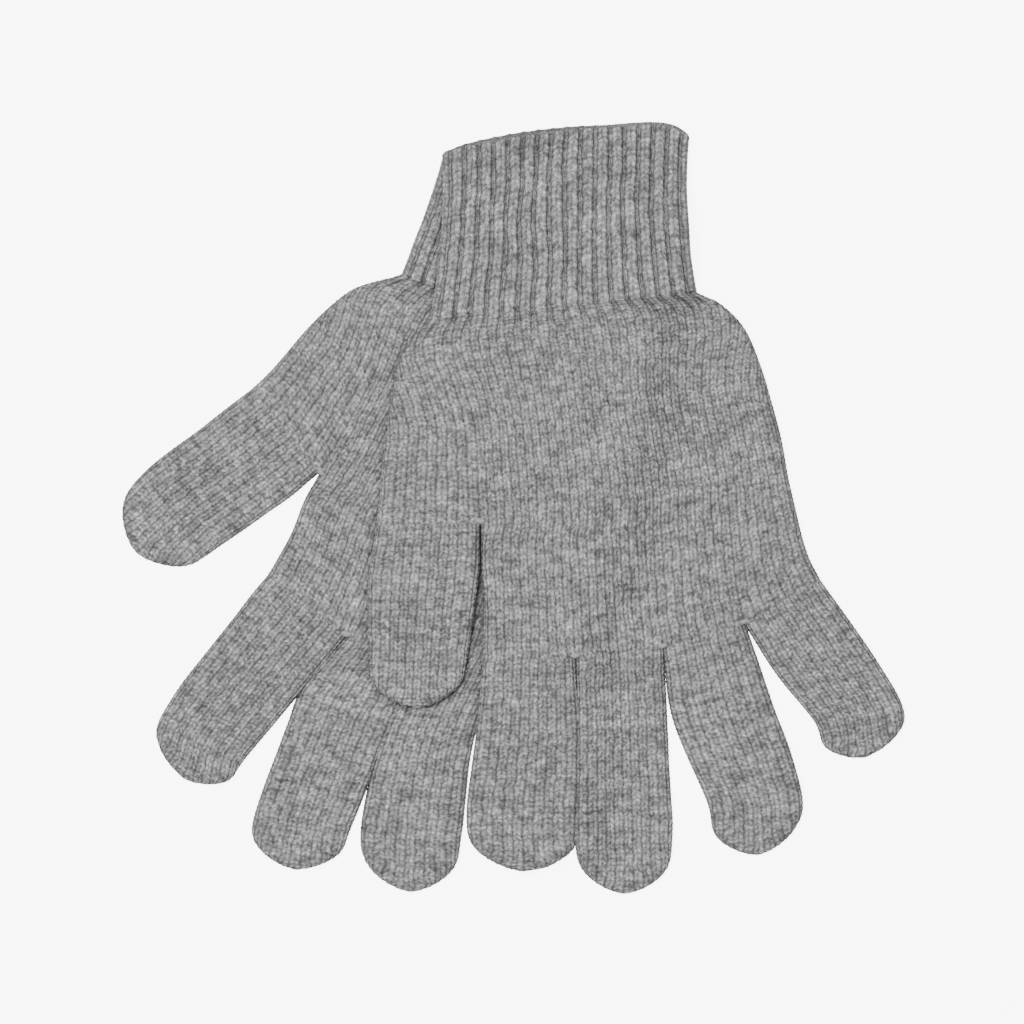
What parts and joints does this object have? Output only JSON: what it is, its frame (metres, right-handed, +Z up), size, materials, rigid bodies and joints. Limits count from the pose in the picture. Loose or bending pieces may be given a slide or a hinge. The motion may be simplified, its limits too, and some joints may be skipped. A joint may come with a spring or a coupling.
{
  "type": "pair of knitted gloves",
  "caption": "Pair of plain knitted gloves with ribbed cuffs, laid flat one across the other; fingers, thumbs and cuff fold up and the top glove lifts off.",
  "frame": {"origin": "under the middle of the pair, on the plane the gloves lie on", "axes": "+Z up, away from that plane, through the thickness of the two flat gloves; +Y runs from the fingertips towards the cuffs of the top glove"},
  "size_m": [0.2338, 0.2406, 0.0175],
  "materials": {
    "knit": "light grey marl plain knit",
    "rib": "light grey marl rib knit",
    "elastic": "covered elastic thread",
    "stitch": "pale grey yarn"
  },
  "bodies": {
    "lower_hand": {"lower_hand": "knit", "lower_fork_stitches": "stitch"},
    "lower_cuff": {"lower_cuff": "rib", "lower_cuff_rim": "stitch", "lower_cuff_elastic": "elastic"},
    "lower_thumb": {"lower_thumb": "knit", "lower_thumb_tip": "stitch"},
    "lower_index": {"lower_index_finger": "knit", "lower_index_tip": "stitch"},
    "lower_middle": {"lower_middle_finger": "knit", "lower_middle_tip": "stitch"},
    "lower_ring": {"lower_ring_finger": "knit", "lower_ring_tip": "stitch"},
    "lower_little": {"lower_little_finger": "knit", "lower_little_tip": "stitch"},
    "upper_hand": {"upper_hand": "knit", "upper_fork_stitches": "stitch"},
    "upper_cuff": {"upper_cuff": "rib", "upper_cuff_rim": "stitch", "upper_cuff_elastic": "elastic"},
    "upper_thumb": {"upper_thumb": "knit", "upper_thumb_tip": "stitch"},
    "upper_index": {"upper_index_finger": "knit", "upper_index_tip": "stitch"},
    "upper_middle": {"upper_middle_finger": "knit", "upper_middle_tip": "stitch"},
    "upper_ring": {"upper_ring_finger": "knit", "upper_ring_tip": "stitch"},
    "upper_little": {"upper_little_finger": "knit", "upper_little_tip": "stitch"}
  },
  "joints": [
    {"name": "upper_glove_lift", "type": "slide", "parent": "lower_hand", "child": "upper_hand", "axis": [0, 0, 1], "range_m": [0, 0.15]},
    {"name": "upper_cuff_fold", "type": "hinge", "parent": "upper_hand", "child": "upper_cuff", "pos_m": [0.0165, 0.06564, 0.0175], "axis": [0.9957, 0.0924, 0], "range_deg": [0, 90]},
    {"name": "upper_thumb_fold", "type": "hinge", "parent": "upper_hand", "child": "upper_thumb", "pos_m": [-0.02621, -0.00447, 0.0149], "axis": [-0.9981, 0.061, 0], "range_deg": [0, 90]},
    {"name": "upper_index_fold", "type": "hinge", "parent": "upper_hand", "child": "upper_index", "pos_m": [0.00599, -0.04716, 0.0149], "axis": [-0.9996, 0.0297, 0], "range_deg": [0, 90]},
    {"name": "upper_middle_fold", "type": "hinge", "parent": "upper_hand", "child": "upper_middle", "pos_m": [0.03448, -0.04724, 0.006], "axis": [-0.9997, -0.0262, 0], "range_deg": [0, 90]},
    {"name": "upper_ring_fold", "type": "hinge", "parent": "upper_hand", "child": "upper_ring", "pos_m": [0.06103, -0.04331, 0.006], "axis": [-0.9632, -0.2689, 0], "range_deg": [0, 90]},
    {"name": "upper_little_fold", "type": "hinge", "parent": "upper_hand", "child": "upper_little", "pos_m": [0.08443, -0.03361, 0.006], "axis": [-0.866, -0.5, 0], "range_deg": [0, 90]},
    {"name": "lower_cuff_swing", "type": "hinge", "parent": "lower_hand", "child": "lower_cuff", "pos_m": [-0.03456, 0.07279, 0], "axis": [0, 0, 1], "range_deg": [0, 5]},
    {"name": "lower_thumb_fold", "type": "hinge", "parent": "lower_hand", "child": "lower_thumb", "pos_m": [-0.07055, 0.02595, 0.006], "axis": [-0.6494, 0.7604, 0], "range_deg": [0, 90]},
    {"name": "lower_index_fold", "type": "hinge", "parent": "lower_hand", "child": "lower_index", "pos_m": [-0.06943, -0.02586, 0.006], "axis": [-0.8563, 0.5165, 0], "range_deg": [0, 90]},
    {"name": "lower_middle_fold", "type": "hinge", "parent": "lower_hand", "child": "lower_middle", "pos_m": [-0.05084, -0.05576, 0.006], "axis": [-0.9291, 0.3697, 0], "range_deg": [0, 90]},
    {"name": "lower_ring_fold", "type": "hinge", "parent": "lower_hand", "child": "lower_ring", "pos_m": [-0.02317, -0.0676, 0.006], "axis": [-0.974, 0.2267, 0], "range_deg": [0, 90]},
    {"name": "lower_little_swing", "type": "hinge", "parent": "lower_hand", "child": "lower_little", "pos_m": [-0.00536, -0.04952, 0], "axis": [0, 0, -1], "range_deg": [0, 8]}
  ]
}
